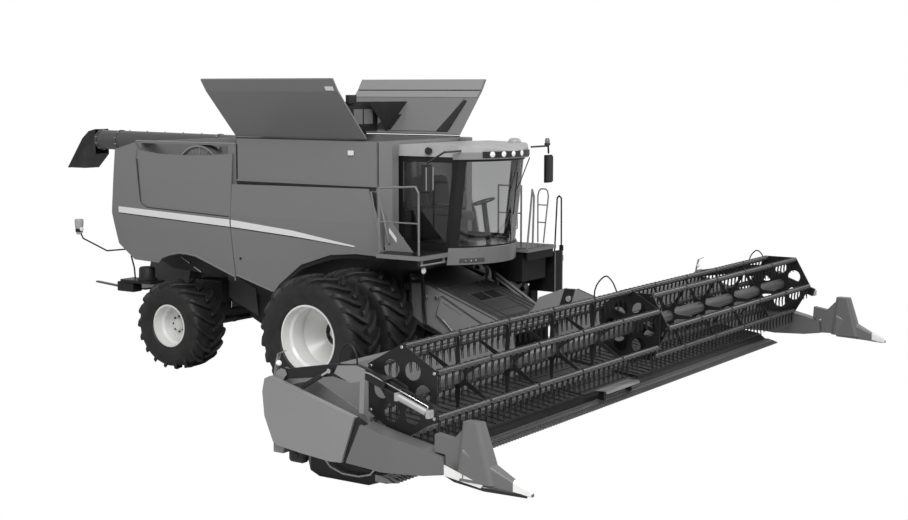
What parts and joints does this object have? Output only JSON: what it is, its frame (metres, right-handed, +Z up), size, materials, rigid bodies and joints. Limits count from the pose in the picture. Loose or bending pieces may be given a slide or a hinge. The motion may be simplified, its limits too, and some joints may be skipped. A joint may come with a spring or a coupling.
{
  "type": "combine harvester",
  "caption": "Self-propelled grain harvester with dual front wheels, glazed cab, open tank covers, long unloading tube and a wide draper header with a tined reel.",
  "frame": {"origin": "centre of the bounding box on the ground plane", "axes": "+Z up, machine drives and faces -Y, its left side is +X"},
  "size_m": [12.85, 16.535, 5.1406],
  "materials": {
    "body_paint": "satin enamel on sheet metal",
    "header_paint": "satin enamel on sheet metal",
    "dark_paint": "satin black enamel",
    "chassis_paint": "dark enamel on plate and castings",
    "white_rim_paint": "gloss white enamel",
    "tyre_rubber": "moulded tread rubber",
    "tinted_glass": "tinted safety glass",
    "roof_plastic": "moulded roof skin",
    "black_plastic": "grained moulding",
    "seat_fabric": "woven upholstery",
    "belt_rubber": "woven-backed rubber belt",
    "knife_steel": "worn ground steel",
    "rod_chrome": "hard chrome",
    "plate_steel": "dark enamel on plate"
  },
  "bodies": {
    "chassis": {"main_frame": "chassis_paint", "rear_axle": "chassis_paint", "threshing_housing": "body_paint", "engine": "chassis_paint", "grain_tank": "body_paint", "rear_hood": "body_paint", "straw_chopper": "plate_steel", "cab_body": "body_paint", "cab_roof": "roof_plastic", "cab_windows": "tinted_glass", "cab_interior": "seat_fabric", "access_platform": "dark_paint", "mirrors_and_lamps": "black_plastic"},
    "front_left_wheel": {"front_left_tyres": "tyre_rubber", "front_left_rims": "white_rim_paint"},
    "front_right_wheel": {"front_right_tyres": "tyre_rubber", "front_right_rims": "white_rim_paint"},
    "rear_left_steering": {"rear_left_knuckle": "chassis_paint"},
    "rear_right_steering": {"rear_right_knuckle": "chassis_paint"},
    "rear_left_wheel": {"rear_left_tyre": "tyre_rubber", "rear_left_rim": "white_rim_paint"},
    "rear_right_wheel": {"rear_right_tyre": "tyre_rubber", "rear_right_rim": "white_rim_paint"},
    "left_front_panel": {"left_front_panel": "body_paint"},
    "right_front_panel": {"right_front_panel": "body_paint"},
    "left_rear_panel": {"left_rear_panel": "body_paint"},
    "right_rear_panel": {"right_rear_panel": "body_paint"},
    "cab_door": {"cab_door": "dark_paint", "cab_door_glass": "tinted_glass"},
    "ladder": {"ladder": "dark_paint"},
    "unloading_auger": {"unloading_auger": "body_paint", "auger_spout": "black_plastic"},
    "left_tank_cover": {"left_tank_cover": "body_paint"},
    "right_tank_cover": {"right_tank_cover": "body_paint"},
    "tank_screen": {"tank_screen": "black_plastic"},
    "rear_tank_flap": {"rear_tank_flap": "black_plastic"},
    "feeder": {"feeder_house": "plate_steel"},
    "lift_barrels": {"lift_cylinder_barrels": "dark_paint"},
    "lift_rods": {"lift_cylinder_rods": "rod_chrome"},
    "header": {"header_frame": "header_paint", "draper_decks": "belt_rubber", "cutter_bar": "knife_steel", "header_ends": "header_paint"},
    "reel_arms": {"reel_arms": "header_paint"},
    "reel_lift_barrels": {"reel_lift_barrels": "dark_paint"},
    "reel_lift_rods": {"reel_lift_rods": "rod_chrome"},
    "reel_carriages": {"reel_carriages": "dark_paint"},
    "reel": {"reel_core": "dark_paint"},
    "reel_right_bat_1": {"reel_right_bat_1": "dark_paint"},
    "reel_right_bat_2": {"reel_right_bat_2": "dark_paint"},
    "reel_right_bat_3": {"reel_right_bat_3": "dark_paint"},
    "reel_right_bat_4": {"reel_right_bat_4": "dark_paint"},
    "reel_right_bat_5": {"reel_right_bat_5": "dark_paint"},
    "reel_right_bat_6": {"reel_right_bat_6": "dark_paint"},
    "reel_left_bat_1": {"reel_left_bat_1": "dark_paint"},
    "reel_left_bat_2": {"reel_left_bat_2": "dark_paint"},
    "reel_left_bat_3": {"reel_left_bat_3": "dark_paint"},
    "reel_left_bat_4": {"reel_left_bat_4": "dark_paint"},
    "reel_left_bat_5": {"reel_left_bat_5": "dark_paint"},
    "reel_left_bat_6": {"reel_left_bat_6": "dark_paint"}
  },
  "joints": [
    {"name": "front_left_wheel_spin", "type": "hinge", "parent": "chassis", "child": "front_left_wheel", "pos_m": [1.355, -1.8875, 1.02], "axis": [1, 0, 0], "continuous": true},
    {"name": "front_right_wheel_spin", "type": "hinge", "parent": "chassis", "child": "front_right_wheel", "pos_m": [-1.355, -1.8875, 1.02], "axis": [1, 0, 0], "continuous": true},
    {"name": "rear_left_steer", "type": "hinge", "parent": "chassis", "child": "rear_left_steering", "pos_m": [1.18, 1.8725, 0.8], "axis": [0, 0, 1], "range_deg": [-38, 38]},
    {"name": "rear_right_steer", "type": "hinge", "parent": "chassis", "child": "rear_right_steering", "pos_m": [-1.18, 1.8725, 0.8], "axis": [0, 0, 1], "range_deg": [-38, 38]},
    {"name": "rear_left_wheel_spin", "type": "hinge", "parent": "rear_left_steering", "child": "rear_left_wheel", "pos_m": [1.657, 1.8725, 0.8], "axis": [1, 0, 0], "continuous": true},
    {"name": "rear_right_wheel_spin", "type": "hinge", "parent": "rear_right_steering", "child": "rear_right_wheel", "pos_m": [-1.657, 1.8725, 0.8], "axis": [1, 0, 0], "continuous": true},
    {"name": "left_front_panel_lift", "type": "hinge", "parent": "chassis", "child": "left_front_panel", "pos_m": [1.405, -0.6675, 3.365], "axis": [0, -1, 0], "range_deg": [0, 80]},
    {"name": "right_front_panel_lift", "type": "hinge", "parent": "chassis", "child": "right_front_panel", "pos_m": [-1.405, -0.6675, 3.365], "axis": [0, 1, 0], "range_deg": [0, 80]},
    {"name": "left_rear_panel_swing", "type": "hinge", "parent": "chassis", "child": "left_rear_panel", "pos_m": [1.46, 3.8075, 2.7], "axis": [0, 0, 1], "range_deg": [0, 75]},
    {"name": "right_rear_panel_swing", "type": "hinge", "parent": "chassis", "child": "right_rear_panel", "pos_m": [-1.46, 3.8075, 2.7], "axis": [0, 0, -1], "range_deg": [0, 75]},
    {"name": "cab_door_swing", "type": "hinge", "parent": "chassis", "child": "cab_door", "pos_m": [0.97, -2.4525, 3.1], "axis": [0, 0, 1], "range_deg": [0, 60]},
    {"name": "ladder_swing", "type": "hinge", "parent": "chassis", "child": "ladder", "pos_m": [1.96, -3.1475, 1.3], "axis": [0, 0, 1], "range_deg": [0, 55]},
    {"name": "unloading_auger_swing", "type": "hinge", "parent": "chassis", "child": "unloading_auger", "pos_m": [1.63, -0.4675, 3.79], "axis": [0.1132, 0, -0.9936], "range_deg": [0, 105]},
    {"name": "right_tank_cover_fold", "type": "hinge", "parent": "chassis", "child": "right_tank_cover", "pos_m": [-1.37, -0.6675, 4.15], "axis": [0, 1, 0], "range_deg": [0, 122]},
    {"name": "left_tank_cover_fold", "type": "hinge", "parent": "chassis", "child": "left_tank_cover", "pos_m": [1.37, -0.6675, 4.15], "axis": [0, -1, 0], "range_deg": [0, 122]},
    {"name": "tank_screen_fold", "type": "hinge", "parent": "chassis", "child": "tank_screen", "pos_m": [0, -0.2675, 4.15], "axis": [1, 0, 0], "range_deg": [0, 88]},
    {"name": "rear_tank_flap_fold", "type": "hinge", "parent": "chassis", "child": "rear_tank_flap", "pos_m": [0, 0.6675, 4.15], "axis": [1, 0, 0], "range_deg": [0, 88]},
    {"name": "feeder_lift", "type": "hinge", "parent": "chassis", "child": "feeder", "pos_m": [0, -2.4475, 1.7], "axis": [-1, 0, 0], "range_deg": [0, 18]},
    {"name": "lift_barrel_swing", "type": "hinge", "parent": "chassis", "child": "lift_barrels", "pos_m": [0, -1.9675, 0.7], "axis": [-1, 0, 0], "range_deg": [0, 13.5]},
    {"name": "lift_rod_slide", "type": "slide", "parent": "lift_barrels", "child": "lift_rods", "axis": [0, -0.9981, -0.061], "range_m": [0, 0.3125]},
    {"name": "header_tilt", "type": "hinge", "parent": "feeder", "child": "header", "pos_m": [0, -4.3075, 0.9], "axis": [0, 1, 0], "range_deg": [-4, 4]},
    {"name": "reel_lift", "type": "hinge", "parent": "header", "child": "reel_arms", "pos_m": [0, -4.5275, 1.34], "axis": [-1, 0, 0], "range_deg": [-3, 20]},
    {"name": "reel_lift_barrel_swing", "type": "hinge", "parent": "header", "child": "reel_lift_barrels", "pos_m": [0, -4.8975, 1.23], "axis": [-1, 0, 0], "range_deg": [-4.2, 27.8]},
    {"name": "reel_lift_rod_slide", "type": "slide", "parent": "reel_lift_barrels", "child": "reel_lift_rods", "axis": [0, -0.8682, 0.4961], "range_m": [-0.0175, 0.114]},
    {"name": "reel_fore_aft", "type": "slide", "parent": "reel_arms", "child": "reel_carriages", "axis": [0, -0.9461, -0.3239], "range_m": [-0.18, 0.22]},
    {"name": "reel_spin", "type": "hinge", "parent": "reel_carriages", "child": "reel", "pos_m": [0, -6.2675, 1.27], "axis": [1, 0, 0], "continuous": true},
    {"name": "reel_right_bat_1_turn", "type": "hinge", "parent": "reel", "child": "reel_right_bat_1", "pos_m": [-3.1, -6.2675, 1.83], "axis": [1, 0, 0], "continuous": true},
    {"name": "reel_right_bat_2_turn", "type": "hinge", "parent": "reel", "child": "reel_right_bat_2", "pos_m": [-3.1, -6.75247, 1.55], "axis": [1, 0, 0], "continuous": true},
    {"name": "reel_right_bat_3_turn", "type": "hinge", "parent": "reel", "child": "reel_right_bat_3", "pos_m": [-3.1, -6.75247, 0.99], "axis": [1, 0, 0], "continuous": true},
    {"name": "reel_right_bat_4_turn", "type": "hinge", "parent": "reel", "child": "reel_right_bat_4", "pos_m": [-3.1, -6.2675, 0.71], "axis": [1, 0, 0], "continuous": true},
    {"name": "reel_right_bat_5_turn", "type": "hinge", "parent": "reel", "child": "reel_right_bat_5", "pos_m": [-3.1, -5.78253, 0.99], "axis": [1, 0, 0], "continuous": true},
    {"name": "reel_right_bat_6_turn", "type": "hinge", "parent": "reel", "child": "reel_right_bat_6", "pos_m": [-3.1, -5.78253, 1.55], "axis": [1, 0, 0], "continuous": true},
    {"name": "reel_left_bat_1_turn", "type": "hinge", "parent": "reel", "child": "reel_left_bat_1", "pos_m": [3.1, -5.9875, 1.75497], "axis": [1, 0, 0], "continuous": true},
    {"name": "reel_left_bat_2_turn", "type": "hinge", "parent": "reel", "child": "reel_left_bat_2", "pos_m": [3.1, -6.5475, 1.75497], "axis": [1, 0, 0], "continuous": true},
    {"name": "reel_left_bat_3_turn", "type": "hinge", "parent": "reel", "child": "reel_left_bat_3", "pos_m": [3.1, -6.8275, 1.27], "axis": [1, 0, 0], "continuous": true},
    {"name": "reel_left_bat_4_turn", "type": "hinge", "parent": "reel", "child": "reel_left_bat_4", "pos_m": [3.1, -6.5475, 0.78503], "axis": [1, 0, 0], "continuous": true},
    {"name": "reel_left_bat_5_turn", "type": "hinge", "parent": "reel", "child": "reel_left_bat_5", "pos_m": [3.1, -5.9875, 0.78503], "axis": [1, 0, 0], "continuous": true},
    {"name": "reel_left_bat_6_turn", "type": "hinge", "parent": "reel", "child": "reel_left_bat_6", "pos_m": [3.1, -5.7075, 1.27], "axis": [1, 0, 0], "continuous": true}
  ],
  "couplings": [
    {"joint": "rear_right_steer", "follows": "rear_left_steer", "ratio": 1},
    {"joint": "left_tank_cover_fold", "follows": "right_tank_cover_fold", "ratio": 1},
    {"joint": "tank_screen_fold", "follows": "right_tank_cover_fold", "ratio": 0.68},
    {"joint": "rear_tank_flap_fold", "follows": "right_tank_cover_fold", "ratio": 0.68},
    {"joint": "lift_barrel_swing", "follows": "feeder_lift", "ratio": 0.737},
    {"joint": "lift_rod_slide", "follows": "feeder_lift", "m_per_rad": 0.985},
    {"joint": "reel_lift_barrel_swing", "follows": "reel_lift", "ratio": 1.388},
    {"joint": "reel_lift_rod_slide", "follows": "reel_lift", "m_per_rad": 0.325},
    {"joint": "reel_right_bat_1_turn", "follows": "reel_spin", "ratio": -1},
    {"joint": "reel_right_bat_2_turn", "follows": "reel_spin", "ratio": -1},
    {"joint": "reel_right_bat_3_turn", "follows": "reel_spin", "ratio": -1},
    {"joint": "reel_right_bat_4_turn", "follows": "reel_spin", "ratio": -1},
    {"joint": "reel_right_bat_5_turn", "follows": "reel_spin", "ratio": -1},
    {"joint": "reel_right_bat_6_turn", "follows": "reel_spin", "ratio": -1},
    {"joint": "reel_left_bat_1_turn", "follows": "reel_spin", "ratio": -1},
    {"joint": "reel_left_bat_2_turn", "follows": "reel_spin", "ratio": -1},
    {"joint": "reel_left_bat_3_turn", "follows": "reel_spin", "ratio": -1},
    {"joint": "reel_left_bat_4_turn", "follows": "reel_spin", "ratio": -1},
    {"joint": "reel_left_bat_5_turn", "follows": "reel_spin", "ratio": -1},
    {"joint": "reel_left_bat_6_turn", "follows": "reel_spin", "ratio": -1}
  ]
}
